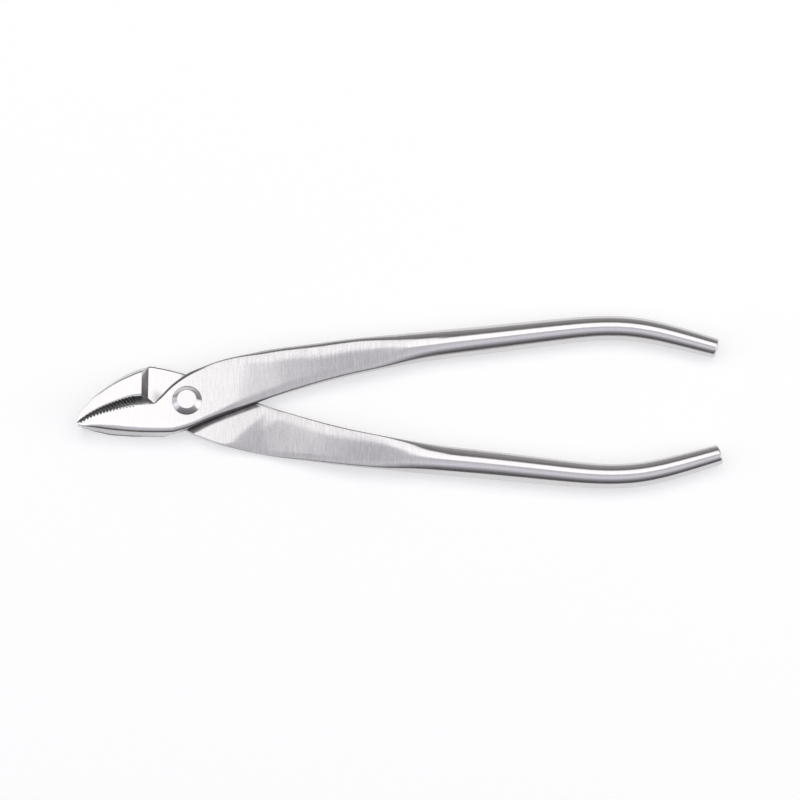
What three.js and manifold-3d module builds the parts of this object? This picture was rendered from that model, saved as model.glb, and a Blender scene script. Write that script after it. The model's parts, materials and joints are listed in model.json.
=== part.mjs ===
// Narrow-nosed toothed pliers: two forged steel arms that cross in a half-lap joint and turn on one rivet.
//
// Millimetres, +Z up, the tool lying flat on Z = 0. The rivet's axis is the Z axis, the jaws point along -X
// and the handles along +X. The front arm carries the lower jaw and the +Y handle and lies on top at the lap;
// the rear arm carries the upper jaw and the -Y handle and lies underneath.
//
// An arm is drawn in its own frame (x, s, t): x is the object's x, s points towards that arm's own handle and
// t points away from the other arm, with t = 0 in the lap plane. The front arm's frame is the object's frame
// lifted to the middle of the tool, and the rear arm's is the same frame turned half round about X.
import * as THREE from "three";
import { mergeVertices } from "three/addons/utils/BufferGeometryUtils.js";
import Module from "manifold-3d";

// Heights
const MID_HEIGHT = 4.6; // the lap plane, halfway up the tool
const LAP = 3; // thickness of one arm at the lap; a jaw is twice as thick
const LAP_GAP = 0.03; // what each arm's lap face stands back from the lap plane

// Rivet and the collar that it is closed over
const SHANK_RADIUS = 2.5;
const BORE_RADIUS = 2.55;
const HEAD_RADIUS = 4.9;
const HEAD_FLAT_RADIUS = 3.25;
const HEAD_RIM = 0.15; // height of the straight rim below the cone
const HEAD_HEIGHT = MID_HEIGHT - LAP;
const SEAT_GAP = 0.02; // between the head or the collar and the arm it sits on
const ROUND_SIDES = 48;

// Half lap: a flat from the step behind the jaw to the slope that rises to the round handle
const STEP_FOOT_X = -12.9;
const STEP_TOP_X = -14.9;
const HEEL_TOP_X = -7.4; // the step again, behind the heel that one arm keeps along its outer edge
const HEEL_S = -9.3; // where that heel starts
const SLOPE_START = 18.4; // distances from the rivet, along a line between +x and +s
const SLOPE_END = 46;
const SLOPE_RISE = 4.2;
const SLOPE_TAIL = 0.4; // how much further down its last point lies
const CUT_REACH = 60; // how far the cut runs past the steel on every side
const CUT_DEPTH = LAP + 5;
const CUT_CURVE_STEPS = 10;

// Teeth
const TOOTH_PITCH = 1.05;
const TOOTH_COUNT = 17;
const TOOTH_DEPTH = 0.35;
const TOOTH_SLANT = THREE.MathUtils.degToRad(15);
const FIRST_TOOTH_X = -34.4;
const GROOVE_WIDTH = 0.97;
const GROOVE_SHOULDER = 0.02; // how far above the edge a groove reaches its full width
const GROOVE_TOP = 0.5;
const GROOVE_REACH = 3.9; // along the groove, from the middle of the jaw

// Edges of the head in plan, in the arm's frame, as runs of a smooth curve that meet at corners. Behind the
// crotch both arms have the same neck, and behind the lap the same inner edge.
const NECK = [[-8.2, 2.1], [-5.6, 4.95], [-2.3, 7.75], [0.6, 9.65], [4.6, 11.4],
  [9, 13.25], [16, 15.3], [25, 17.2]];
const INNER = [[6, -6.75], [13.7, -3.4], [19.5, -1.1], [25, 1.1]];

const FRONT_JAW = {
  heelTopX: HEEL_TOP_X,
  biting: [
    [[-35.6, -7.55], [-30, -4.8], [-25.2, -3.1], [-20, -1.85], [-15.4, -1.3], [-10.8, -1]],
    [[-10.8, -1], ...NECK],
  ],
  back: [
    [[-35.6, -7.75], [-34.6, -8.25], [-32, -8.75], [-25.2, -9.6], [-18.6, -10.3], [-12, -10.65], [-4.6, -10.6]],
    [[-4.6, -10.6], [1, -8.95], ...INNER],
  ],
};

const REAR_JAW = {
  heelTopX: STEP_TOP_X,
  biting: [
    [[-35.6, 7.1], [-30.1, 3.45], [-23.5, 0.45], [-17.3, -1.45], [-12.95, -1.85]],
    [[-12.95, -1.85], [-10.95, -0.16]],
    [[-10.95, -0.16], ...NECK],
  ],
  back: [
    [[-35.6, 6.6], [-34.5, 3.2], [-31.7, -1], [-28.4, -4.3], [-23.5, -7.8], [-18.6, -10.4], [-15.2, -11.7]],
    [[-15.2, -11.7], [-12.4, -12.6], [-8.8, -12], [-5.2, -11.15], [-2.3, -10.35], [1, -9.3], ...INNER],
  ],
};

// Handle: x and s of the centre line, half width, half thickness, and how square the section is. A squareness
// of 2 is an ellipse, and a large one is a rectangle.
const HANDLE = [
  [25, 9.15, 8.05, 3, 16],
  [31, 10.8, 7.45, 3.2, 8],
  [37, 12.2, 6.85, 3.45, 5],
  [50, 14.95, 5.95, 3.95, 3.4],
  [63, 17.1, 5.35, 4.4, 2.6],
  [76, 18.95, 5, 4.6, 2.2],
  [96, 21.2, 4.7, 4.4, 2],
  [122, 24.2, 4.28, 4.15, 2],
  [136, 25.35, 4.05, 3.95, 2],
  [148, 24.7, 3.95, 3.85, 2],
  [161, 21.75, 3.7, 3.62, 2],
  [173, 18.25, 3.3, 3.25, 2],
];
const END_ROUNDING = 0.7; // radius of the rounded edge round a handle's cut end

// Fineness
const HEAD_STEP = 1.2;
const HANDLE_STEPS = 30;
const SECTION_SIDES = 24; // a multiple of 8, so that a square section gets its corners
const HEAD_SQUARENESS = 200;

const STEEL = { color: 0xc9c9c6, metalness: 1 };

const wasm = await Module();
wasm.setup();

function solid(geometry) {
  geometry.deleteAttribute("normal");
  geometry.deleteAttribute("uv");
  const merged = mergeVertices(geometry, 1e-5);
  const mesh = new wasm.Mesh({
    numProp: 3,
    vertProperties: new Float32Array(merged.attributes.position.array),
    triVerts: new Uint32Array(merged.index.array),
  });
  return new wasm.Manifold(mesh);
}

function geometryOf(manifold) {
  const mesh = manifold.getMesh();
  const geometry = new THREE.BufferGeometry();
  geometry.setAttribute("position", new THREE.BufferAttribute(mesh.vertProperties, 3));
  geometry.setIndex(new THREE.BufferAttribute(mesh.triVerts, 1));
  geometry.computeVertexNormals();
  return geometry;
}

function extruded(shape, low, high, curveSegments) {
  const geometry = new THREE.ExtrudeGeometry(shape, { depth: high - low, bevelEnabled: false, curveSegments });
  return geometry.translate(0, 0, low);
}

const smoothCurve = (list) => new THREE.SplineCurve(list.map(([x, s]) => new THREE.Vector2(x, s)));

// An edge made of runs: its corners, and its s and slope at any x
function edgeOf(runs) {
  const curves = runs.map(smoothCurve);
  const corners = runs.map((run) => run[0][0]);
  const find = (x) => {
    const curve = curves[Math.max(corners.filter((corner) => corner <= x).length - 1, 0)];
    let low = 0;
    let high = 1;
    while (high - low > 1e-6) {
      const middle = (low + high) / 2;
      if (curve.getPoint(middle).x < x) low = middle;
      else high = middle;
    }
    return { curve, at: (low + high) / 2 };
  };
  const s = (x) => {
    const { curve, at } = find(x);
    return curve.getPoint(at).y;
  };
  const heading = (x) => {
    const { curve, at } = find(x);
    return curve.getTangent(at).angle();
  };
  return { corners, s, heading };
}

// One section as a ring of points square to the centre line: a superellipse, walked by equal angles
function sectionRing(centre, tangent, halfWidth, halfThickness, squareness) {
  const side = new THREE.Vector3(-tangent.y, tangent.x, 0).normalize();
  const ring = [];
  for (let i = 0; i < SECTION_SIDES; i++) {
    const angle = (2 * Math.PI * i) / SECTION_SIDES;
    const cos = Math.cos(angle);
    const sin = Math.sin(angle);
    const size = (Math.abs(cos) ** squareness + Math.abs(sin) ** squareness) ** (-1 / squareness);
    const point = centre.clone().addScaledVector(side, halfWidth * size * cos);
    point.z += halfThickness * size * sin;
    ring.push(point);
  }
  return ring;
}

// The head's stations: close together at the tip, then even, with one at each corner of either edge
function headStations(edges) {
  const [start, end] = [edges.biting.corners[0], HANDLE[0][0]];
  const stations = [...edges.biting.corners, ...edges.back.corners];
  let x = start;
  for (let step = 0.15; x < end - 0.3; step = Math.min(step * 1.3, HEAD_STEP)) {
    x += step;
    if (stations.every((other) => Math.abs(other - x) > 0.3)) stations.push(x);
  }
  return [...new Set(stations)].filter((station) => station < end - 0.3).sort((a, b) => a - b);
}

function headRings(jaw) {
  const edges = { biting: edgeOf(jaw.biting), back: edgeOf(jaw.back) };
  const alongX = new THREE.Vector3(1, 0, 0);
  return headStations(edges).map((x) => {
    const high = edges.biting.s(x);
    const low = edges.back.s(x);
    return sectionRing(new THREE.Vector3(x, (high + low) / 2, 0), alongX, (high - low) / 2, LAP, HEAD_SQUARENESS);
  });
}

function handleRings() {
  const centreLine = new THREE.CatmullRomCurve3(HANDLE.map(([x, s]) => new THREE.Vector3(x, s, 0)));
  const sizes = new THREE.CatmullRomCurve3(HANDLE.map(([, , w, h, n]) => new THREE.Vector3(w, h, 1 / n)));
  const alongX = new THREE.Vector3(1, 0, 0);
  const rings = [];
  for (let i = 0; i <= HANDLE_STEPS; i++) {
    const along = i / HANDLE_STEPS;
    const turn = Math.min(along * 4, 1); // sections turn from square to X to square to the handle
    const tangent = alongX.clone().lerp(centreLine.getTangent(along), turn);
    const { x: w, y: h, z: roundness } = sizes.getPoint(along);
    rings.push(sectionRing(centreLine.getPoint(along), tangent, w, h, 1 / roundness));
  }
  const end = centreLine.getPoint(1);
  const tangent = centreLine.getTangent(1);
  const [, , endWidth, endThickness] = HANDLE.at(-1);
  for (const turn of [30, 60, 90]) {
    const angle = THREE.MathUtils.degToRad(turn);
    const inset = END_ROUNDING * (1 - Math.cos(angle));
    const centre = end.clone().addScaledVector(tangent, END_ROUNDING * Math.sin(angle));
    rings.push(sectionRing(centre, tangent, endWidth - inset, endThickness - inset, 2));
  }
  return rings;
}

// A closed skin over a row of rings, with a flat fan on each end
function skin(rings) {
  const position = rings.flat().flatMap((point) => point.toArray());
  const index = [];
  for (let r = 0; r + 1 < rings.length; r++) {
    for (let i = 0; i < SECTION_SIDES; i++) {
      const a = r * SECTION_SIDES + i;
      const b = r * SECTION_SIDES + ((i + 1) % SECTION_SIDES);
      index.push(a, b, b + SECTION_SIDES, a, b + SECTION_SIDES, a + SECTION_SIDES);
    }
  }
  const last = (rings.length - 1) * SECTION_SIDES;
  for (let i = 1; i + 1 < SECTION_SIDES; i++) {
    index.push(0, i + 1, i);
    index.push(last, last + i, last + i + 1);
  }
  const geometry = new THREE.BufferGeometry();
  geometry.setAttribute("position", new THREE.Float32BufferAttribute(position, 3));
  geometry.setIndex(index);
  return geometry;
}

// A shape in the XZ plane as a solid between two values of s, turned about the rivet's axis
function cutAcross(shape, lowS, highS, turn = 0) {
  const geometry = extruded(shape, -highS, -lowS, CUT_CURVE_STEPS);
  return solid(geometry.rotateX(Math.PI / 2).rotateZ(turn));
}

// The step between the full thickness of the jaw and the lap, and the flat behind it
function stepShape(topX) {
  const shape = new THREE.Shape();
  shape.moveTo(topX, -CUT_DEPTH);
  shape.lineTo(topX, -LAP);
  shape.lineTo(topX + STEP_FOOT_X - STEP_TOP_X, LAP_GAP);
  shape.lineTo(0, LAP_GAP);
  shape.lineTo(0, -CUT_DEPTH);
  return shape;
}

// The flat ahead of the slope and the slope itself
function slopeShape() {
  const shape = new THREE.Shape();
  const third = (SLOPE_END - SLOPE_START) / 3;
  shape.moveTo(-CUT_REACH, -CUT_DEPTH);
  shape.lineTo(-CUT_REACH, LAP_GAP);
  shape.lineTo(SLOPE_START, LAP_GAP);
  shape.bezierCurveTo(
    SLOPE_START + third, LAP_GAP, SLOPE_END - third, -SLOPE_RISE, SLOPE_END, -SLOPE_RISE - SLOPE_TAIL,
  );
  shape.lineTo(SLOPE_END, -CUT_DEPTH);
  return shape;
}

// The room the other arm turns in, below the lap plane, in two bites that meet at x = 0: one ends at the jaw's
// step, which runs straight across the jaw and further back along the heel, and one at the slope, which runs
// square to the arm
function lapCut(heelTopX) {
  const step = cutAcross(stepShape(STEP_TOP_X), HEEL_S, CUT_REACH);
  const heel = cutAcross(stepShape(heelTopX), -CUT_REACH, HEEL_S);
  const slope = cutAcross(slopeShape(), -CUT_REACH, CUT_REACH, Math.PI / 4);
  const behind = new THREE.BoxGeometry(CUT_REACH, 2 * CUT_REACH, 2 * CUT_DEPTH);
  behind.translate(CUT_REACH / 2, 0, 0);
  return step.add(heel).add(slope.intersect(solid(behind)));
}

// A three-cornered groove in the biting edge, leaning from the upright
function grooveCut(x, s, heading) {
  const half = GROOVE_WIDTH / 2;
  const notch = new THREE.Shape();
  notch.moveTo(-half, GROOVE_TOP);
  notch.lineTo(-half, GROOVE_SHOULDER);
  notch.lineTo(0, -TOOTH_DEPTH);
  notch.lineTo(half, GROOVE_SHOULDER);
  notch.lineTo(half, GROOVE_TOP);
  const geometry = extruded(notch, -GROOVE_REACH, GROOVE_REACH, 1);
  return solid(geometry.rotateY(TOOTH_SLANT).rotateZ(heading).translate(x, s, 0));
}

function bore() {
  return solid(new THREE.CylinderGeometry(BORE_RADIUS, BORE_RADIUS, 20, ROUND_SIDES).rotateX(Math.PI / 2));
}

// A whole arm in its own frame
function arm(jaw) {
  let body = solid(skin([...headRings(jaw), ...handleRings()]));
  body = body.subtract(lapCut(jaw.heelTopX)).subtract(bore());
  const edge = edgeOf(jaw.biting);
  for (let i = 0; i < TOOTH_COUNT; i++) {
    const x = FIRST_TOOTH_X + i * TOOTH_PITCH;
    body = body.subtract(grooveCut(x, edge.s(x), edge.heading(x)));
  }
  return geometryOf(body);
}

function turned(profile) {
  const outline = profile.map(([radius, height]) => new THREE.Vector2(radius, height));
  return new THREE.LatheGeometry(outline, ROUND_SIDES).rotateX(Math.PI / 2);
}

function rivetGeometry() {
  const seat = MID_HEIGHT + LAP + SEAT_GAP;
  const top = MID_HEIGHT + LAP + HEAD_HEIGHT;
  return turned([
    [0, 0],
    [SHANK_RADIUS, 0],
    [SHANK_RADIUS, seat],
    [HEAD_RADIUS, seat],
    [HEAD_RADIUS, MID_HEIGHT + LAP + HEAD_RIM],
    [HEAD_FLAT_RADIUS, top],
    [0, top],
  ]);
}

function collarGeometry() {
  const seat = MID_HEIGHT - LAP - SEAT_GAP;
  return turned([
    [BORE_RADIUS, 0],
    [HEAD_FLAT_RADIUS, 0],
    [HEAD_RADIUS, HEAD_HEIGHT - HEAD_RIM],
    [HEAD_RADIUS, seat],
    [BORE_RADIUS, seat],
    [BORE_RADIUS, 0],
  ]);
}

function piece(name, geometry, roughness) {
  const mesh = new THREE.Mesh(geometry, new THREE.MeshStandardMaterial({ ...STEEL, roughness }));
  mesh.name = name;
  return mesh;
}

const pliers = new THREE.Group();

const frontArm = piece("front_arm", arm(FRONT_JAW), 0.3);
frontArm.position.z = MID_HEIGHT;

const rearArm = piece("rear_arm", arm(REAR_JAW), 0.3);
rearArm.position.z = MID_HEIGHT;
rearArm.rotation.x = Math.PI;

pliers.add(
  frontArm,
  rearArm,
  piece("pivot_rivet", rivetGeometry(), 0.22),
  piece("rivet_collar", collarGeometry(), 0.25),
);

export default pliers;
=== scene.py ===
"""Narrow-nosed toothed pliers in brushed stainless steel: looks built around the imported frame.

Lengths are in millimetres until a mesh is made, and the frame's axes are used throughout: the rivet's
axis is Z, the jaws point along -X and the front arm's handle lies at +Y. An arm is drawn in its own frame
(x, s, t): s points towards its own handle and t away from the other arm, with t = 0 in the lap plane. The
rear arm's frame is turned half round about X, so its t points down.
"""
import json
import math
from dataclasses import dataclass
from typing import Callable

import bmesh
import bpy
import numpy as np
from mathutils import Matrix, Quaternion, Vector


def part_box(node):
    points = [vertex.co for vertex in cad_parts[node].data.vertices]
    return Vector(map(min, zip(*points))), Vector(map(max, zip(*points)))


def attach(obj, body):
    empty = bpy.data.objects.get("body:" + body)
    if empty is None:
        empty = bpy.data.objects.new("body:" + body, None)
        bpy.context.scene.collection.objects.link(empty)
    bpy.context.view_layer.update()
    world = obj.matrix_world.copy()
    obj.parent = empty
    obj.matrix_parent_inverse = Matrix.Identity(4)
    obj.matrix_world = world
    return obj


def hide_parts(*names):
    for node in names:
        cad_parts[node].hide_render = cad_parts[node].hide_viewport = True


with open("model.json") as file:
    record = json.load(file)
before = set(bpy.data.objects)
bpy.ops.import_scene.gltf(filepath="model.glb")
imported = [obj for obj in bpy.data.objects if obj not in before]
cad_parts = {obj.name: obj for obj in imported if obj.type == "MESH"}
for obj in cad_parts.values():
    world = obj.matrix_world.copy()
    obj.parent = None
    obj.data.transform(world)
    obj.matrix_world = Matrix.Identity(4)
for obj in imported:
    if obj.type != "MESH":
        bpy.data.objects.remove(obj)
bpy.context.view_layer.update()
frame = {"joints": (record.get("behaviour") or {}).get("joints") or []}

MM = 0.001

# ---- Sizes taken from the frame ------------------------------------------------------------------
PIVOT_Z = frame["joints"][0]["pos_m"][2] / MM
RIVET_LOW, RIVET_HIGH = (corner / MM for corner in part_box("pivot_rivet"))
TIP_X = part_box("front_arm")[0].x / MM
COLLAR_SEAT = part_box("rivet_collar")[1].z / MM
LAP = PIVOT_Z - COLLAR_SEAT  # thickness of one arm at the lap
LAP_GAP = 0.03  # how far each lap face stands off the lap plane

# ---- The handle: x, then s of its centre line, half width and half thickness ---------------------
HANDLE = [
    (31, 10.8, 7.5, 3.2),
    (37, 12.2, 6.95, 3.45),
    (50, 14.95, 6.05, 3.8),
    (63, 17.1, 5.4, 3.84),
    (76, 18.95, 5.0, 4.06),
    (96, 21.2, 4.7, 4.4),
    (122, 24.2, 4.28, 4.15),
    (136, 25.33, 4.05, 3.95),
    (148, 24.7, 3.95, 3.85),
    (161, 21.75, 3.7, 3.62),
    (172.95, 18.27, 3.3, 3.25),
]
HANDLE_END, _, HANDLE_END_RADIUS, _ = HANDLE[-1]
END_ROUNDING = 0.7
END_DOME = 0.25
ROUND_FROM_X, ROUND_TO_X = 60, 96  # where the flat blade turns into the round grip
TWIST = [(4, 0), (24, 9), (38, 11.5), (52, 12.5), (66, 12.5), (92, 0)]  # degrees that the blade's faces lean

# ---- The head's edges in plan, as smooth runs that meet at corners -------------------------------
HEAD_END = 25
NECK = [(-8.2, 2.1), (-5.6, 4.95), (-2.3, 7.75), (0.6, 9.65), (4.6, 11.4), (9, 13.25), (16, 15.3),
        (HEAD_END, 17.2)]
INNER = [(6, -6.75), (13.7, -3.4), (19.5, -1.1), (HEAD_END, 1.1)]
OUTER_EDGE = [*NECK, *((x, s + half) for x, s, half, _ in HANDLE)]
INNER_EDGE = [*INNER, *((x, s - half) for x, s, half, _ in HANDLE)]

FRONT_EDGES = {
    "biting": [
        [(TIP_X, -7.6), (-33, -6), (-30, -4.6), (-25.2, -3.1), (-20, -1.85), (-15.4, -1.3), (-10.8, -1)],
        [(-10.8, -1), *OUTER_EDGE],
    ],
    "back": [
        [(TIP_X, -7.75), (-34.6, -8.25), (-32, -8.75), (-25.2, -9.6), (-18.6, -10.3), (-12, -10.65),
         (-4.6, -10.6)],
        [(-4.6, -10.6), (1, -8.95), *INNER_EDGE],
    ],
}
REAR_EDGES = {
    "biting": [
        [(TIP_X, 7.2), (-30.1, 3.45), (-23.5, 0.45), (-17.3, -1.45), (-12.95, -1.85)],
        [(-12.95, -1.85), (-10.95, -0.16)],
        [(-10.95, -0.16), *OUTER_EDGE],
    ],
    "back": [
        [(TIP_X, 6.8), (-34.6, 3.3), (-33.3, 0.5), (-31.7, -2), (-28.4, -5.4), (-23.5, -9.1),
         (-18.6, -11.85), (-15.2, -13.05), (-13.2, -13.2), (-11, -12.5), (-8.8, -12), (-5.2, -11.15),
         (-2.3, -10.35), (1, -9.3), *INNER_EDGE],
    ],
}
HALF_THICKNESS = [(0, LAP), (10, LAP), (20, LAP), *((x, half) for x, _, _, half in HANDLE)]

# ---- Half lap and teeth --------------------------------------------------------------------------
STEP_TOP_X = -14.9  # the step runs from here, at the jaw's full thickness,
STEP_FOOT_X = -12.9  # to here, in the lap plane
HEEL_FROM, HEEL_TO = 8.6, 9.9  # -s over which an arm's heel sets its step back
LAP_END = 25.8  # x + s where the flat of the lap ends
SWELL_FROM_X, SWELL_TO_X = 18, 58  # where the lap side grows to the grip's full thickness
SWELL_REACH = 9  # and how far past the lap's end that takes
FALL_SLOPE = 0.21  # how steeply the lap side falls away past the joint
ROLL_START = 1.8  # how far from the lap's end and the inner edge the fall starts
ROLL = 0.9  # how gently the flat rolls over into the fall
KEPT_SHARE = 0.2  # the part of the thickness that the lap leaves as it is
TOOTH_PITCH = 1.05
TOOTH_DEPTH = 0.5
TOOTH_SLANT = math.tan(math.radians(15))
TEETH_END_X = -17.2


def smoothstep(value, low, high):
    ratio = np.clip((np.asarray(value, dtype=float) - low) / (high - low), 0, 1)
    return ratio * ratio * (3 - 2 * ratio)


def band(value, rise, fall):
    """1 between the end of the rise and the start of the fall, each (low, high), and 0 outside them."""
    return smoothstep(value, *rise) * (1 - smoothstep(value, *fall))


def ease(x, table):
    """A value along x, read off a short table of (x, value) and level at each entry."""
    xs, values = zip(*table)
    i = int(np.clip(np.searchsorted(xs, x) - 1, 0, len(xs) - 2))
    return values[i] + (values[i + 1] - values[i]) * float(smoothstep(x, xs[i], xs[i + 1]))


def spline(points):
    """A natural cubic through (x, y) points, as a function of x."""
    x, y = np.array(points, dtype=float).T
    step = np.diff(x)
    system, right = np.eye(len(x)), np.zeros(len(x))
    for i in range(1, len(x) - 1):
        system[i, i - 1:i + 2] = step[i - 1], 2 * (step[i - 1] + step[i]), step[i]
        right[i] = 6 * ((y[i + 1] - y[i]) / step[i] - (y[i] - y[i - 1]) / step[i - 1])
    bend = np.linalg.solve(system, right)

    def at(value):
        i = int(np.clip(np.searchsorted(x, value) - 1, 0, len(x) - 2))
        b = (value - x[i]) / step[i]
        a = 1 - b
        return a * y[i] + b * y[i + 1] + ((a**3 - a) * bend[i] + (b**3 - b) * bend[i + 1]) * step[i] ** 2 / 6

    return at


def edge(runs):
    """An edge made of splines that meet at corners, as a function of x."""
    pieces = [(run[-1][0], spline(run)) for run in runs]

    def at(x):
        return next((piece(x) for end, piece in pieces if x <= end), pieces[-1][1](x))

    return at


half_thickness_spline = spline(HALF_THICKNESS)


def half_thickness_at(x):
    return LAP if x <= HALF_THICKNESS[1][0] else half_thickness_spline(x)


# ---- Sections: a slab with shaped corners, and an ellipse ----------------------------------------
FACE_CUTS = 44  # points of a section along each face, corner and wall
CORNER_CUTS = 16
WALL_CUTS = 12
CORNER_SAMPLES = 600
CORNER_LIMIT = 0.92  # the most of a half width or half thickness that one corner takes
ROUND_CORNER_SPAN = 56  # degrees of an ellipse that a corner's points take


def corner(turns):
    """A corner of unit width from (share of its length, slope in degrees): columns of out and down."""
    share, slope = np.array(turns, dtype=float).T
    along = np.linspace(0, 1, CORNER_SAMPLES)
    angle = np.radians(np.interp(along, share, slope))
    out = np.concatenate([[0], np.cumsum(np.cos(angle[1:]))])
    down = np.concatenate([[0], np.cumsum(np.sin(angle[1:]))])
    pace = along + angle * 2 / math.pi  # the points gather where the slope turns
    pick = np.linspace(0, pace[-1], CORNER_CUTS + 1)
    return np.column_stack([np.interp(pick, pace, out), np.interp(pick, pace, down)]) / out[-1]


ROUND = corner([(0, 0), (1, 90)])
CHAMFER = corner([(0, 0), (0.12, 15), (0.82, 20), (1, 90)])
NECK_CHAMFER = corner([(0, 0), (0.08, 15), (0.85, 22), (1, 90)])
OPEN_CROWN = corner([(0, 0), (0.3, 5), (0.55, 7), (1, 90)])
TIGHT_CROWN = corner([(0, 0), (0.4, 5), (0.82, 7), (1, 90)])
BEVEL = corner([(0, 0), (0.2, 3), (0.42, 7), (0.56, 11.5), (0.72, 14), (1, 90)])
SOFT_BEVEL = corner([(0, 0), (0.3, 8), (0.7, 14), (1, 90)])


def straight(start, end, steps):
    return start + (end - start) * np.linspace(0, 1, steps, endpoint=False)


def slab_section(half_width, half_thickness, corners):
    """A slab with four corners, each (width, shape), from the top face round by the low edge."""
    sides = []
    for width, shape in corners:
        width = min(width, half_width * CORNER_LIMIT)
        depth = min(width, half_thickness * CORNER_LIMIT / shape[-1, 1])
        sides.append((shape[:, 0] * width, shape[:, 1] * depth))
    (out1, down1), (out2, down2), (out3, down3), (out4, down4) = sides
    low, high, top, bottom = -half_width, half_width, half_thickness, -half_thickness
    across = np.concatenate([
        straight(high - out4[-1], low + out1[-1], FACE_CUTS),
        (low + out1[-1] - out1)[:-1],
        np.full(WALL_CUTS, low),
        (low + out2[-1] - out2)[:0:-1],
        straight(low + out2[-1], high - out3[-1], FACE_CUTS),
        (high - out3[-1] + out3)[:-1],
        np.full(WALL_CUTS, high),
        (high - out4[-1] + out4)[:0:-1],
    ])
    up = np.concatenate([
        np.full(FACE_CUTS, top),
        (top - down1)[:-1],
        straight(top - down1[-1], bottom + down2[-1], WALL_CUTS),
        (bottom + down2)[:0:-1],
        np.full(FACE_CUTS, bottom),
        (bottom + down3)[:-1],
        straight(bottom + down3[-1], top - down4[-1], WALL_CUTS),
        (top - down4)[:0:-1],
    ])
    return across, up


def round_section(half_width, half_thickness):
    """An ellipse whose points are shared out between faces, corners and walls as a slab's are."""
    half_gap = (90 - ROUND_CORNER_SPAN) / 2
    ends = [quarter + gap for quarter in (90, 180, 270, 360, 450) for gap in (-half_gap, half_gap)]
    ends = np.radians(ends[:-1])
    cuts = [FACE_CUTS, CORNER_CUTS, WALL_CUTS, CORNER_CUTS] * 2
    angle = np.concatenate([straight(a, b, n) for a, b, n in zip(ends, ends[1:], cuts)])
    return half_width * np.cos(angle), half_thickness * np.sin(angle)


def arm_section(x, half_width, half_thickness, corners):
    """The section at x: a slab that turns into an ellipse along the handle."""
    across, up = slab_section(half_width, half_thickness, corners)
    round_across, round_up = round_section(half_width, half_thickness)
    roundness = smoothstep(x, ROUND_FROM_X, ROUND_TO_X)
    return across + (round_across - across) * roundness, up + (round_up - up) * roundness


# ---- What tells one arm from the other -----------------------------------------------------------
@dataclass
class ArmShape:
    """What one arm has of its own, in the arm's frame. The functions take x."""

    edges: dict
    corners: Callable  # (width, shape) of the corners: top-low, bottom-low, bottom-high, top-high
    back_lean: Callable  # how far the back wall leans in over its height, towards the lap side
    bite_lean: Callable  # how far the biting wall stands out over its height, away from the lap side
    tip_rise: Callable  # how far the jaw's lap side rises towards the point
    tooth_reach: float  # how far the teeth run in from the biting wall
    heel: float  # how far the step is set back at the outer corner, so that the open arms clear each other
    side: int  # 1 above the lap plane, -1 below it


BLADE_MIDDLE_X = 40  # a corner's shape changes once before this and once past it


def blended(x, first, second, start=58, end=86):
    """One corner shape turning into another along x."""
    return first + (second - first) * smoothstep(x, start, end)


def bevel_width(x):
    return ease(x, [(TIP_X, 0.6), (-32, 1.7), (-24, 3.2), (-5, 2.9), (4, 2.8), (20, 3.3), (58, 3.4), (76, 4),
                    (96, 4.3)])


def front_corners(x):
    inner = ease(x, [(TIP_X, 0.3), (0, 0.4), (30, 1.2), (60, 2.4), (76, 3.6), (96, 4.3)])
    under = ease(x, [(TIP_X, 0.25), (10, 0.5), (37, 2.2), (60, 2.6), (76, 3.8), (96, 4.3)])
    outer = ease(x, [(-11, 0.14), (-10, 0.8), (-8, 1.3), (-1, 1.3), (6, 1.1), (14, 2.2), (28, 4.6), (50, 6),
                     (63, 5.6), (76, 4.6), (90, 4.5)])
    if x < BLADE_MIDDLE_X:
        outer_shape = blended(x, NECK_CHAMFER, OPEN_CROWN, -2, 10)
    else:
        outer_shape = blended(x, OPEN_CROWN, ROUND, 55, 80)
    return (bevel_width(x), blended(x, BEVEL, ROUND)), (inner, ROUND), (under, ROUND), (outer, outer_shape)


def rear_corners(x):
    back = ease(x, [(TIP_X, 0.2), (-32, 0.7), (-15, 0.7), (0, 0.6), (18, 0.8), (28, 3.4), (50, 4.3), (60, 4),
                    (70, 3.8), (80, 4), (92, 4.3)])
    bite = ease(x, [(TIP_X, 0.2), (-32, 0.6), (STEP_TOP_X, 0.8), (STEP_FOOT_X, 0.15), (0, 0.3), (20, 2),
                    (50, 2.4), (63, 3), (76, 4), (96, 4.3)])
    under = ease(x, [(TIP_X, 0.4), (0, 0.8), (20, 2.4), (37, 2.8), (55, 2.8), (76, 4), (96, 4.3)])
    if x < BLADE_MIDDLE_X:
        back_shape = blended(x, ROUND, TIGHT_CROWN, 16, 28)
        bite_shape = blended(x, CHAMFER, SOFT_BEVEL, -12, 5)
    else:
        back_shape = blended(x, TIGHT_CROWN, ROUND, 62, 88)
        bite_shape = blended(x, SOFT_BEVEL, ROUND)
    return (bevel_width(x), blended(x, BEVEL, ROUND)), (back, back_shape), (bite, bite_shape), (under, ROUND)


def front_back_lean(x):
    """Below 0, where the wall stands out at its foot."""
    return ease(x, [(-32, 0.2), (-29, -0.1), (-25, -0.4), (-20, -0.25), (-13, 0)])


def rear_back_lean(x):
    return ease(x, [(TIP_X, 0.1), (-31.7, 2.3), (-27, 3), (-18.6, 3.45), (-15.1, 3.2), (-12.2, 0.3),
                    (-11, 0)])


def rear_bite_lean(x):
    return ease(x, [(-31, 0), (-28, 0.25), (-25.2, 0.65), (-21.9, 1.0), (-18.6, 1.25), (-15.4, 1.35),
                    (STEP_FOOT_X, 1.1), (-10.95, 0)])


def front_tip_rise(x):
    return ease(x, [(TIP_X, 3.9), (-33.4, 2.3), (-30, 0.4), (-27, 0)])


def zero(x):
    return 0


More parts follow.
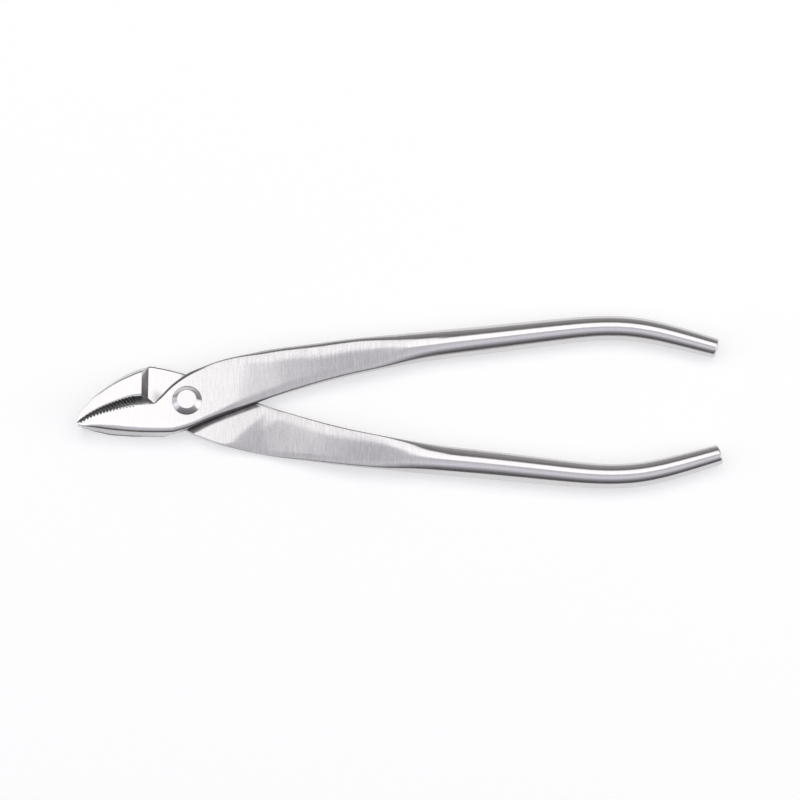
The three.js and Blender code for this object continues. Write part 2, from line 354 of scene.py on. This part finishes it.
FRONT = ArmShape(
    edges=FRONT_EDGES,
    corners=front_corners,
    back_lean=front_back_lean,
    bite_lean=zero,
    tip_rise=front_tip_rise,
    tooth_reach=1.1,
    heel=7.5,
    side=1,
)
REAR = ArmShape(
    edges=REAR_EDGES,
    corners=rear_corners,
    back_lean=rear_back_lean,
    bite_lean=rear_bite_lean,
    tip_rise=zero,
    tooth_reach=0.25,
    heel=0,
    side=-1,
)


# ---- The skin of an arm --------------------------------------------------------------------------
TURN_FROM_X, TURN_TO_X = 12, 45  # where the sections turn to stand square to the handle's centre line
TURN_SPAN = 0.5
MIN_HALF_WIDTH = 0.05
TIP_STATIONS, TIP_SPACING, TIP_GROWTH = 12, 0.04, 1.25
TOOTH_CUTS = 10
JAW_SPACING = 0.15
STEP_SPACING = 0.08
LAP_SPACING = 0.3
HANDLE_SPACING = 0.7


def arm_stations():
    """Places along x for the sections: close at the tip, the teeth and the step, and one at each corner."""
    tip = TIP_X + np.cumsum(TIP_SPACING * TIP_GROWTH ** np.arange(TIP_STATIONS))
    teeth = np.arange(tip[-1] + 0.1, TEETH_END_X + 0.3, TOOTH_PITCH / TOOTH_CUTS)
    jaw = np.arange(teeth[-1] + JAW_SPACING, STEP_TOP_X - 2 * JAW_SPACING, JAW_SPACING)
    step = np.arange(STEP_TOP_X - 0.25, STEP_FOOT_X + 0.3, STEP_SPACING)
    step_ends = [STEP_TOP_X, STEP_FOOT_X, STEP_FOOT_X + 0.15]
    runs = [run for edges in (FRONT_EDGES, REAR_EDGES) for side in edges.values() for run in side[:-1]]
    corners = [run[-1][0] for run in runs]
    lap = np.arange(step[-1] + 0.2, HEAD_END, LAP_SPACING)
    head = np.unique(np.round(np.concatenate([[TIP_X], tip, teeth, jaw, step, step_ends, corners, lap]), 4))
    return np.concatenate([head, np.arange(HEAD_END + LAP_SPACING, HANDLE_END, HANDLE_SPACING), [HANDLE_END]])


def lap_face(x, s, from_inner_edge, skin_bottom, heel):
    """Height of an arm's lap side at (x, s).

    It is the arm's own skin at the jaw, the lap plane in the joint, and past the joint a face that falls away
    towards the outer edge while it swells into the grip.
    """
    past_lap = x + s - LAP_END
    reach = np.minimum(past_lap, from_inner_edge) - ROLL_START
    fall = FALL_SLOPE * ROLL * np.log1p(np.exp(np.clip(reach / ROLL, -40, 40)))
    lap = LAP_GAP + fall
    step_top = STEP_TOP_X + heel * smoothstep(-s, HEEL_FROM, HEEL_TO)
    step = 1 - np.clip((x - step_top) / (STEP_FOOT_X - STEP_TOP_X), 0, 1)
    swell = smoothstep(x, SWELL_FROM_X, SWELL_TO_X) * smoothstep(past_lap, 0, SWELL_REACH)
    return lap + (skin_bottom - lap) * np.where(x < 0, step, swell)


def pressed_heights(x, across, down, middle, half_width, half_thickness, twist, shape):
    """Heights round a section once the faces lean by the twist and the lap side has moved to its face."""
    skin_top = half_thickness * math.cos(twist) + across * math.sin(twist)
    skin_bottom = skin_top - 2 * half_thickness * math.cos(twist) + shape.tip_rise(x)
    face = lap_face(x, middle + across, across + half_width, skin_bottom, shape.heel)
    kept = np.minimum(down, KEPT_SHARE)
    pressed = (down - kept) / (1 - KEPT_SHARE)
    kept_level = skin_top - kept * (skin_top - skin_bottom)
    return kept_level - pressed * (kept_level - face)


def tooth_grooves(x, height):
    """1 in the grooves between the teeth and 0 on their crests."""
    wave = 0.5 - 0.5 * np.cos(2 * np.pi * (x - TOOTH_SLANT * height - TIP_X) / TOOTH_PITCH)
    return band(x, (TIP_X + 0.2, TIP_X + 1.2), (TEETH_END_X - 0.2, TEETH_END_X + 0.3)) * wave**0.8


def arm_rings(shape):
    """Rings of (x, s, t, darkness of milled steel and painted shade) from the jaw's tip to the handle's cut
    end.
    """
    biting, back = edge(shape.edges["biting"]), edge(shape.edges["back"])

    def middle_at(x):
        return (biting(x) + back(x)) / 2

    rings = []
    for x in arm_stations():
        middle = middle_at(x)
        half_width, half_thickness = (biting(x) - back(x)) / 2, half_thickness_at(x)
        across, up = arm_section(x, half_width, half_thickness, shape.corners(x))
        from_back, from_bite = across + half_width, half_width - across
        down = (half_thickness - up) / (2 * half_thickness)  # 0 on the top face, 1 on the lap side

        # walls that lean over their height
        share = across / max(half_width, MIN_HALF_WIDTH)
        across = across + np.clip(-share, 0, 1) * min(shape.back_lean(x), half_width) * down
        across = across + np.clip(share, 0, 1) * shape.bite_lean(x) * (1 - down)

        # the lap side on its face, and the whole section twisted
        twist = math.radians(ease(x, TWIST))
        height = pressed_heights(x, across, down, middle, half_width, half_thickness, twist, shape)
        leaning = (height - across * math.sin(twist)) * math.tan(twist)
        across = across * math.cos(twist) - leaning

        # the section square to the centre line
        slope = (middle_at(x + TURN_SPAN / 2) - middle_at(x - TURN_SPAN / 2)) / TURN_SPAN
        turn = math.atan(slope) * float(smoothstep(x, TURN_FROM_X, TURN_TO_X))
        xs, s = x - across * math.sin(turn), middle + across * math.cos(turn)

        groove = tooth_grooves(xs, height)
        s = s - TOOTH_DEPTH * np.clip(1 - from_bite / shape.tooth_reach, 0, 1) * groove
        beyond_cover = s + back(x)  # past the other arm's back edge
        # how dark the surface is made: milled steel on the teeth, and painted shade
        milled_and_shade = milling_and_shade(x, from_back, from_bite, down, groove, beyond_cover)
        rings.append(np.column_stack([xs, s, height, milled_and_shade]))
    return rings + end_rings(rings[-1], turn)


def end_rings(last, turn):
    """Rounds the edge of the handle's cut end and closes it with a slightly domed face."""
    direction = np.array([math.cos(turn), math.sin(turn), 0, 0])
    centre = last.mean(axis=0)
    rings = []
    for angle in np.radians([15, 30, 45, 60, 75, 90]):
        inset = 1 - END_ROUNDING * (1 - math.cos(angle)) / HANDLE_END_RADIUS
        rings.append(centre + (last - centre) * inset + direction * END_ROUNDING * math.sin(angle))
    rim = rings[-1] - centre - direction * END_ROUNDING
    for ratio in (0.8, 0.55, 0.3, 0.1):
        lift = END_ROUNDING + END_DOME * (1 - ratio**2)
        rings.append(centre + rim * ratio + direction * lift)
    return rings


# ---- Where an arm is milled, and where shade is painted on it ------------------------------------
def milling_and_shade(x, from_back, from_bite, down, groove, beyond_cover):
    """1 where a surface is darkened as milled steel and as painted shade, 0 where it is ground and brushed.

    Distances from the edges are in millimetres, and down is a share of the thickness.
    """
    return np.maximum.reduce([
        bite_milled_and_shade(x, from_bite, down, groove),
        step_foot_shade(x, down),
        lap_shadow(x, from_back, down, beyond_cover),
        neck_chamfer_shade(x, from_bite, down),
        back_wall_shade(x, from_back, down),
        neck_side_shade(x, from_bite, down),
    ])


def bite_milled_and_shade(x, from_bite, down, groove):
    """The biting wall, milled and with painted shade between the jaws: darkest in its grooves, where the
    painted shade is deeper, and past the first teeth lighter away from the lap side.
    """
    toothed = 1 - smoothstep(x, TEETH_END_X, TEETH_END_X + 1)
    tone = (0.76 - 0.04 * toothed + 0.3 * groove) * (1 - smoothstep(x, -11.5, -10)) * (x > TIP_X + 0.3)
    tone = tone * (1 - 0.3 * (1 - smoothstep(down, 0.05, 0.45)) * smoothstep(x, -27, -19))
    on_wall = 1 - smoothstep(from_bite, 0.05 + 0.35 * groove, 0.25 + 0.55 * groove)
    return tone * on_wall * smoothstep(1 - down, 0.03, 0.08)


def step_foot_shade(x, down):
    """Painted shade on the lower half of the step's slope, in the corner at its foot."""
    in_step = band(x, (STEP_TOP_X, STEP_TOP_X + 0.2), (STEP_FOOT_X - 0.1, STEP_FOOT_X + 0.05))
    return 0.14 * smoothstep(x, -13.9, -13) * in_step * smoothstep(down, 0.9, 0.98)


def lap_shadow(x, from_back, down, beyond_cover):
    """Painted shade on the inner wall along the lap, and a painted shadow on the lap face where the other arm
    covers it or nearly does.
    """
    in_lap = band(x, (-3, 0), (23, 27))
    wall = 0.75 * in_lap * (1 - smoothstep(from_back, 0.05, 0.3)) * smoothstep(down, 0.14, 0.26)
    face = 0.8 * in_lap * (1 - smoothstep(beyond_cover, 1.4, 1.95)) * smoothstep(down, 0.95, 0.99)
    return np.maximum(wall, face)


def neck_chamfer_shade(x, from_bite, down):
    """Painted shade on the chamfer round the neck."""
    along = band(x, (-10.5, -9.5), (0, 8)) * (1 - smoothstep(from_bite, 1.0, 1.3))
    return 0.35 * along * band(down, (0.005, 0.02), (0.12, 0.2))


def back_wall_shade(x, from_back, down):
    """Painted shade on the back wall up to the blade: grey at the jaw, with a dark line along each face."""
    from_face = np.minimum(down, 1 - down)
    lap_side = (down > 0.5) * (x < STEP_TOP_X)
    line_end = (0.11 + 0.05 * lap_side, 0.18 + 0.07 * lap_side)
    line = (0.72 + 0.2 * lap_side) * band(from_face, (0.01, 0.04), line_end)
    grey = (0.16 + 0.14 * (1 - smoothstep(from_face, 0.1, 0.4))) * smoothstep(from_face, 0.03, 0.06)
    grey = grey * (1 - smoothstep(x, STEP_TOP_X - 1, STEP_TOP_X + 8))
    return np.maximum(line, grey) * (1 - smoothstep(from_back, 0.35, 0.7)) * (1 - smoothstep(x, 20, 30))


def neck_side_shade(x, from_bite, down):
    """Painted shade on the lap face beside the neck."""
    away = np.hypot((x + 8.6) / 4.2, (from_bite - 1.5) / 5)
    return 0.5 * (1 - smoothstep(away, 0.1, 1)) * smoothstep(down, 0.9, 0.98)


# ---- Meshes --------------------------------------------------------------------------------------
SHARP_ANGLE = math.radians(32)  # a crease sharper than this isn't shaded smooth
MERGE_DISTANCE = 1e-7  # metres


def mesh_object(name, verts, faces, material, milled_and_shade=None):
    mesh = bpy.data.meshes.new(name)
    mesh.from_pydata([tuple(v) for v in np.asarray(verts) * MM], [], faces)
    # the darkness of milled steel and of painted shade, kept on the mesh for the material
    if milled_and_shade is not None:
        values = mesh.attributes.new("milled_and_shade", "FLOAT", "POINT").data
        values.foreach_set("value", np.asarray(milled_and_shade, dtype=np.float32))
    work = bmesh.new()
    work.from_mesh(mesh)
    bmesh.ops.remove_doubles(work, verts=work.verts, dist=MERGE_DISTANCE)
    bmesh.ops.recalc_face_normals(work, faces=work.faces)
    for face in work.faces:
        face.smooth = True
    for line in work.edges:
        if len(line.link_faces) == 2 and line.calc_face_angle(0) > SHARP_ANGLE:
            line.smooth = False
    work.to_mesh(mesh)
    work.free()
    mesh.materials.append(material)
    piece = bpy.data.objects.new(name, mesh)
    bpy.context.scene.collection.objects.link(piece)
    return piece


def skin(rings):
    """Vertices and faces of a closed skin over a row of rings."""
    sides = len(rings[0])
    faces = []
    for r in range(len(rings) - 1):
        for i in range(sides):
            j = (i + 1) % sides
            faces.append((r * sides + i, r * sides + j, (r + 1) * sides + j, (r + 1) * sides + i))
    last = (len(rings) - 1) * sides
    faces.append(tuple(range(sides))[::-1])
    faces.append(tuple(range(last, last + sides)))
    return np.vstack(rings), faces


def arm(name, shape, material):
    points, faces = skin(arm_rings(shape))
    verts = points[:, :3] * [1, shape.side, shape.side] + [0, 0, PIVOT_Z]
    return mesh_object(name, verts, faces, material, points[:, 3])


# ---- Rivet and collar ----------------------------------------------------------------------------
ROUND_STEPS = 128
SOLID_RADIUS = 0.2  # a profile that starts nearer the axis than this is closed across it
EDGE_ROUNDING = 0.1
HEAD_RADIUS = RIVET_HIGH.x
HEAD_FLAT = 3.15
HEAD_RIM = 0.15
HEAD_GAP = 0.02  # between the rivet's head and the front arm
FLAT_MARGIN = 0.3  # the plain rim of the head's flat, outside the lathe's rings
SHANK_RADIUS = 2.5
END_RADIUS = 0.12  # of the facet at the axis that closes the shank's end
LATHE_RING = 0.45
LATHE_RING_DEPTH = 0.006
RING_CUTS = 5
COLLAR_BORE = 2.55
BORE_CHAMFER, BORE_CHAMFER_HEIGHT = 0.4, 0.08


def lathe(name, profile, material):
    """A turned piece: profile is (radius, z) from the axis or back to its own start."""
    turn = np.linspace(0, 2 * math.pi, ROUND_STEPS, endpoint=False)
    verts = [(r * math.cos(a), r * math.sin(a), z) for r, z in profile for a in turn]
    faces = []
    rows = len(profile)
    hollow = profile[0][0] > SOLID_RADIUS
    for row in range(rows if hollow else rows - 1):
        for i in range(ROUND_STEPS):
            j = (i + 1) % ROUND_STEPS
            here, above = row * ROUND_STEPS, (row + 1) % rows * ROUND_STEPS
            faces.append((here + i, here + j, above + j, above + i))
    if not hollow:
        faces.append(tuple(range(ROUND_STEPS))[::-1])
        faces.append(tuple(range((rows - 1) * ROUND_STEPS, rows * ROUND_STEPS)))
    return mesh_object(name, verts, faces, material)


def rounded_path(points, radius, steps=4):
    """The same path with its inner corners rounded."""
    path = [points[0]]
    for before, at, after in zip(points, points[1:], points[2:]):
        at, before, after = (np.array(p, dtype=float) for p in (at, before, after))
        back, on = before - at, after - at
        cut = min(radius, np.linalg.norm(back) * 0.45, np.linalg.norm(on) * 0.45)
        start, end = at + back / np.linalg.norm(back) * cut, at + on / np.linalg.norm(on) * cut
        for u in np.linspace(0, 1, steps + 1):
            path.append(tuple((1 - u) ** 2 * start + 2 * u * (1 - u) * at + u**2 * end))
    path.append(points[-1])
    return path


def rivet(material):
    """A shank through both arms, and a head with a conical edge and the lathe's rings on its flat."""
    top, seat = RIVET_HIGH.z, PIVOT_Z + LAP + HEAD_GAP
    outline = rounded_path([
        (END_RADIUS, RIVET_LOW.z),
        (SHANK_RADIUS, RIVET_LOW.z),
        (SHANK_RADIUS, seat),
        (HEAD_RADIUS, seat),
        (HEAD_RADIUS, seat + HEAD_RIM),
        (HEAD_FLAT, top),
        (HEAD_FLAT - FLAT_MARGIN, top),
    ], EDGE_ROUNDING)
    rings = []
    for r in np.arange(HEAD_FLAT - FLAT_MARGIN - 0.05, 0.15, -LATHE_RING / RING_CUTS):
        rings.append((r, top - LATHE_RING_DEPTH * (0.5 + 0.5 * math.cos(r * 2 * math.pi / LATHE_RING))))
    return lathe("rivet", [*outline, *rings], material)


def collar(material):
    """The ring that closes the rivet under the arms, with the head's conical edge upside down."""
    outline = rounded_path([
        (COLLAR_BORE + BORE_CHAMFER, 0),
        (HEAD_FLAT, 0),
        (HEAD_RADIUS, COLLAR_SEAT - HEAD_RIM),
        (HEAD_RADIUS, COLLAR_SEAT),
        (COLLAR_BORE, COLLAR_SEAT),
        (COLLAR_BORE, BORE_CHAMFER_HEIGHT),
    ], EDGE_ROUNDING)
    return lathe("collar", outline, material)


# ---- Materials -----------------------------------------------------------------------------------
GROUND_STEEL = (0.69, 0.68, 0.68)
GROUND_SHADE = (0.17, 0.16, 0.16)
# near black: the colour of milled steel on the teeth, and of painted shade
SHADE_AND_MILLED_STEEL = (0.035, 0.033, 0.035)
TURNED_STEEL = (0.66, 0.65, 0.655)
TURNED_SHADE = (0.6, 0.59, 0.595)
TONE_RING_PITCH = 0.8
BUMP_DEPTH = 0.03


def node(tree, kind, **values):
    made = tree.nodes.new(kind)
    for key, value in values.items():
        if key in made.inputs:
            made.inputs[key].default_value = value
        else:
            setattr(made, key, value)
    return made


def noise(tree, coordinates, stretch, detail=3.0):
    """Noise with so many features to the metre along each axis."""
    mapping = node(tree, "ShaderNodeMapping")
    mapping.inputs["Scale"].default_value = stretch
    made = node(tree, "ShaderNodeTexNoise", Scale=1.0, Detail=detail, Roughness=0.6)
    tree.links.new(coordinates, mapping.inputs["Vector"])
    tree.links.new(mapping.outputs["Vector"], made.inputs["Vector"])
    return made.outputs["Fac"]


def spread(tree, value, low, high, to_low, to_high, smooth=False):
    """A value moved from one range to another."""
    made = node(tree, "ShaderNodeMapRange", interpolation_type="SMOOTHSTEP" if smooth else "LINEAR")
    made.inputs["From Min"].default_value, made.inputs["From Max"].default_value = low, high
    made.inputs["To Min"].default_value, made.inputs["To Max"].default_value = to_low, to_high
    tree.links.new(value, made.inputs["Value"])
    return made.outputs["Result"]


def combine(tree, operation, *values):
    """Arithmetic on values that are numbers or other nodes' outputs."""
    made = node(tree, "ShaderNodeMath", operation=operation)
    for socket, value in zip(made.inputs, values):
        if isinstance(value, (int, float)):
            socket.default_value = value
        else:
            tree.links.new(value, socket)
    return made.outputs[0]


def mixed_color(tree, factor, first, second):
    made = node(tree, "ShaderNodeMix", data_type="RGBA")
    for name, value in (("A", first), ("B", second)):
        socket = next(s for s in made.inputs if s.name == name and s.type == "RGBA")
        if isinstance(value, tuple):
            socket.default_value = (*value, 1)
        else:
            tree.links.new(value, socket)
    tree.links.new(factor, made.inputs["Factor"])
    return next(s for s in made.outputs if s.type == "RGBA")


def metal(name):
    material = bpy.data.materials.new(name)
    material.use_nodes = True
    tree = material.node_tree
    shader = tree.nodes["Principled BSDF"]
    shader.inputs["Metallic"].default_value = 1
    coordinates = node(tree, "ShaderNodeTexCoord").outputs["Object"]
    return material, tree, shader, coordinates


def add_bump(tree, shader, height, strength):
    bump = node(tree, "ShaderNodeBump", Strength=strength, Distance=BUMP_DEPTH * MM)
    tree.links.new(height, bump.inputs["Height"])
    tree.links.new(bump.outputs["Normal"], shader.inputs["Normal"])


def arm_material():
    """Stainless steel belt-ground across its length, duller on the handles' blades than on their grips."""
    material, tree, shader, coordinates = metal("arm_brushed_steel")
    streaks = noise(tree, coordinates, (2400, 220, 300))
    specks = noise(tree, coordinates, (2600, 1500, 2600), 2.0)
    cloud = noise(tree, coordinates, (90, 60, 90))
    grain = combine(tree, "MULTIPLY_ADD", streaks, 0.6, combine(tree, "MULTIPLY", specks, 0.4))

    # 1 on the blade, less on the jaw and the grip
    place = node(tree, "ShaderNodeSeparateXYZ")
    tree.links.new(coordinates, place.inputs[0])
    after_jaw = spread(tree, place.outputs["X"], -12 * MM, 22 * MM, 0.35, 1, smooth=True)
    before_grip = spread(tree, place.outputs["X"], 55 * MM, 90 * MM, 1, 0.3, smooth=True)
    brushed = combine(tree, "MULTIPLY", after_jaw, before_grip)

    # near black where the mesh marks milled steel and painted shade
    milled_and_shade = node(tree, "ShaderNodeAttribute", attribute_name="milled_and_shade").outputs["Fac"]
    patches = spread(tree, noise(tree, coordinates, (420, 260, 420)), 0.3, 0.7, 0.93, 1.07)
    milled_and_shade = combine(tree, "MULTIPLY", milled_and_shade, patches)

    shade = combine(tree, "MULTIPLY", spread(tree, grain, 0.36, 0.64, 0.36, 0.15), brushed)
    ground = mixed_color(tree, shade, GROUND_STEEL, GROUND_SHADE)
    tree.links.new(mixed_color(tree, milled_and_shade, ground, SHADE_AND_MILLED_STEEL), shader.inputs["Base Color"])

    cloudy = spread(tree, cloud, 0.3, 0.7, 0.85, 1.2)
    dull = combine(tree, "MULTIPLY", cloudy, spread(tree, brushed, 0.3, 1, 0.15, 0.24))
    roughness = combine(tree, "MAXIMUM", dull, combine(tree, "MULTIPLY", milled_and_shade, 0.45))
    tree.links.new(roughness, shader.inputs["Roughness"])
    add_bump(tree, shader, grain, 0.25)
    return material


def rivet_material():
    """Brighter, finer steel with the rings of the lathe in it."""
    material, tree, shader, coordinates = metal("rivet_turned_steel")
    grain = noise(tree, coordinates, (1200, 1200, 1200))
    flat = node(tree, "ShaderNodeVectorMath", operation="MULTIPLY")
    flat.inputs[1].default_value = (1, 1, 0)
    tree.links.new(coordinates, flat.inputs[0])
    radius = node(tree, "ShaderNodeVectorMath", operation="LENGTH")
    tree.links.new(flat.outputs[0], radius.inputs[0])
    phase = combine(tree, "MULTIPLY", radius.outputs["Value"], 2 * math.pi / (TONE_RING_PITCH * MM))
    wave = spread(tree, combine(tree, "SINE", phase), -1, 1, 0.2, 1)
    turned = combine(tree, "MULTIPLY", wave, spread(tree, grain, 0.3, 0.7, 0.4, 1))
    tree.links.new(mixed_color(tree, turned, TURNED_SHADE, TURNED_STEEL), shader.inputs["Base Color"])
    tree.links.new(spread(tree, grain, 0.3, 0.7, 0.12, 0.18), shader.inputs["Roughness"])
    add_bump(tree, shader, grain, 0.1)
    return material


# ---- The pieces on the frame ---------------------------------------------------------------------
arm_steel = arm_material()
rivet_steel = rivet_material()

front = arm("front_arm_steel", FRONT, arm_steel)
rear = arm("rear_arm_steel", REAR, arm_steel)
rivet_piece = rivet(rivet_steel)
collar_piece = collar(rivet_steel)

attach(front, "front")
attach(rear, "rear")
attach(rivet_piece, "front")
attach(collar_piece, "front")
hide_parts("front_arm")
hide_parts("rear_arm")
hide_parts("pivot_rivet")
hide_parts("rivet_collar")


# ---- Stage, in metres ----------------------------------------------------------------------------
FLOOR_REACH = 6
FLOOR_LEVEL = -0.05 * MM  # just clear of the rivet's lower end
LIT_POINT = Vector((0.07, 0, 0))
SOFT_BOX_ANGLE = math.radians(72.5)
CAMERA_TARGET = Vector((0.0695, 0.0008, 0.0046))
CAMERA_DISTANCE = 1.2
CAMERA_ELEVATION = math.radians(72.8)
CAMERA_ROLL = math.radians(-0.2)
VIEW_WIDTH = 0.2616
SENSOR_WIDTH = 36  # the camera's own unit, mm

WARM, VIOLET = (1.02, 0.99, 1.01), (1.0, 0.985, 1.06)
# angle in the YZ plane from +Y over the top to -Y, and the brightness and tint of the room there
ROOM_TONES = [
    (0, 0.5, WARM), (12, 0.41, WARM), (35, 0.26, WARM), (47, 0.2, WARM), (55, 0.3, WARM), (85, 0.4, WARM),
    (87, 1.0, VIOLET), (92, 0.78, VIOLET), (96, 0.66, VIOLET), (103, 0.8, VIOLET), (112, 0.86, VIOLET),
    (120, 0.95, VIOLET), (127, 0.82, VIOLET), (136, 0.56, VIOLET), (146, 0.35, VIOLET), (156, 0.18, VIOLET),
    (168, 0.09, VIOLET), (180, 0.2, WARM),
]


def floor():
    """A white sweep that glows a little, as one lit from below does."""
    mesh = bpy.data.meshes.new("floor")
    signs = ((-1, -1), (1, -1), (1, 1), (-1, 1))
    corners = [(x * FLOOR_REACH, y * FLOOR_REACH, FLOOR_LEVEL) for x, y in signs]
    mesh.from_pydata(corners, [], [(0, 1, 2, 3)])
    plane = bpy.data.objects.new("floor", mesh)
    bpy.context.scene.collection.objects.link(plane)
    material = bpy.data.materials.new("floor_white")
    material.use_nodes = True
    shader = material.node_tree.nodes["Principled BSDF"]
    shader.inputs["Base Color"].default_value = (0.688, 0.695, 0.66, 1)
    shader.inputs["Roughness"].default_value = 1.0
    shader.inputs["Specular IOR Level"].default_value = 0.0
    shader.inputs["Emission Color"].default_value = (0.99, 0.98, 1.03, 1)
    shader.inputs["Emission Strength"].default_value = 0.425
    mesh.materials.append(material)


def area_light(name, direction, distance, size, radiance, color=(1, 1, 1)):
    """A soft box that faces the object from a direction."""
    data = bpy.data.lights.new(name, "AREA")
    data.shape = "RECTANGLE"
    data.size, data.size_y = size
    data.energy = radiance * math.pi * size[0] * size[1]
    data.color = color
    light = bpy.data.objects.new(name, data)
    away = Vector(direction).normalized()
    light.location = LIT_POINT + away * distance
    light.rotation_euler = (-away).to_track_quat("-Z", "Y").to_euler()
    bpy.context.scene.collection.objects.link(light)


def lights():
    overhead = (0, math.cos(SOFT_BOX_ANGLE), math.sin(SOFT_BOX_ANGLE))
    area_light("soft_box", overhead, distance=1.1, size=(1.9, 0.66), radiance=1.2)
    area_light("left_card", (-0.94, -0.02, 0.24), distance=1.0, size=(1.0, 0.8), radiance=0.55,
               color=(1, 0.98, 1.05))
    area_light("right_card", (0.93, -0.10, 0.25), distance=1.0, size=(0.84, 0.6), radiance=1.1)


def room():
    """A room that is the same all along the tool and changes round it."""
    made = bpy.data.worlds.new("studio")
    bpy.context.scene.world = made
    made.use_nodes = True
    tree = made.node_tree
    split = node(tree, "ShaderNodeSeparateXYZ")
    tree.links.new(node(tree, "ShaderNodeTexCoord").outputs["Generated"], split.inputs[0])
    angle = combine(tree, "ARCTAN2", split.outputs["Z"], split.outputs["Y"])
    ramp = node(tree, "ShaderNodeValToRGB")
    tree.links.new(combine(tree, "DIVIDE", angle, math.pi), ramp.inputs["Fac"])
    stops = ramp.color_ramp.elements
    stops.remove(stops[-1])
    for i, (degrees, tone, tint) in enumerate(ROOM_TONES):
        stop = stops[0] if i == 0 else stops.new(degrees / 180)
        stop.position = degrees / 180
        stop.color = (*(tone * channel for channel in tint), 1)
    tree.links.new(ramp.outputs["Color"], tree.nodes["Background"].inputs["Color"])


def camera():
    data = bpy.data.cameras.new("camera")
    made = bpy.data.objects.new("camera", data)
    bpy.context.scene.collection.objects.link(made)
    back = Vector((0, -math.cos(CAMERA_ELEVATION), math.sin(CAMERA_ELEVATION)))
    data.sensor_width = SENSOR_WIDTH
    data.lens = SENSOR_WIDTH * CAMERA_DISTANCE / VIEW_WIDTH
    made.location = CAMERA_TARGET + back * CAMERA_DISTANCE
    roll = Quaternion((0, 0, 1), CAMERA_ROLL)
    made.rotation_euler = ((-back).to_track_quat("-Z", "Y") @ roll).to_euler()
    data.clip_start, data.clip_end = 0.05, 50
    bpy.context.scene.camera = made


floor()
room()
camera()
lights()
bpy.context.scene.view_settings.view_transform = "Standard"
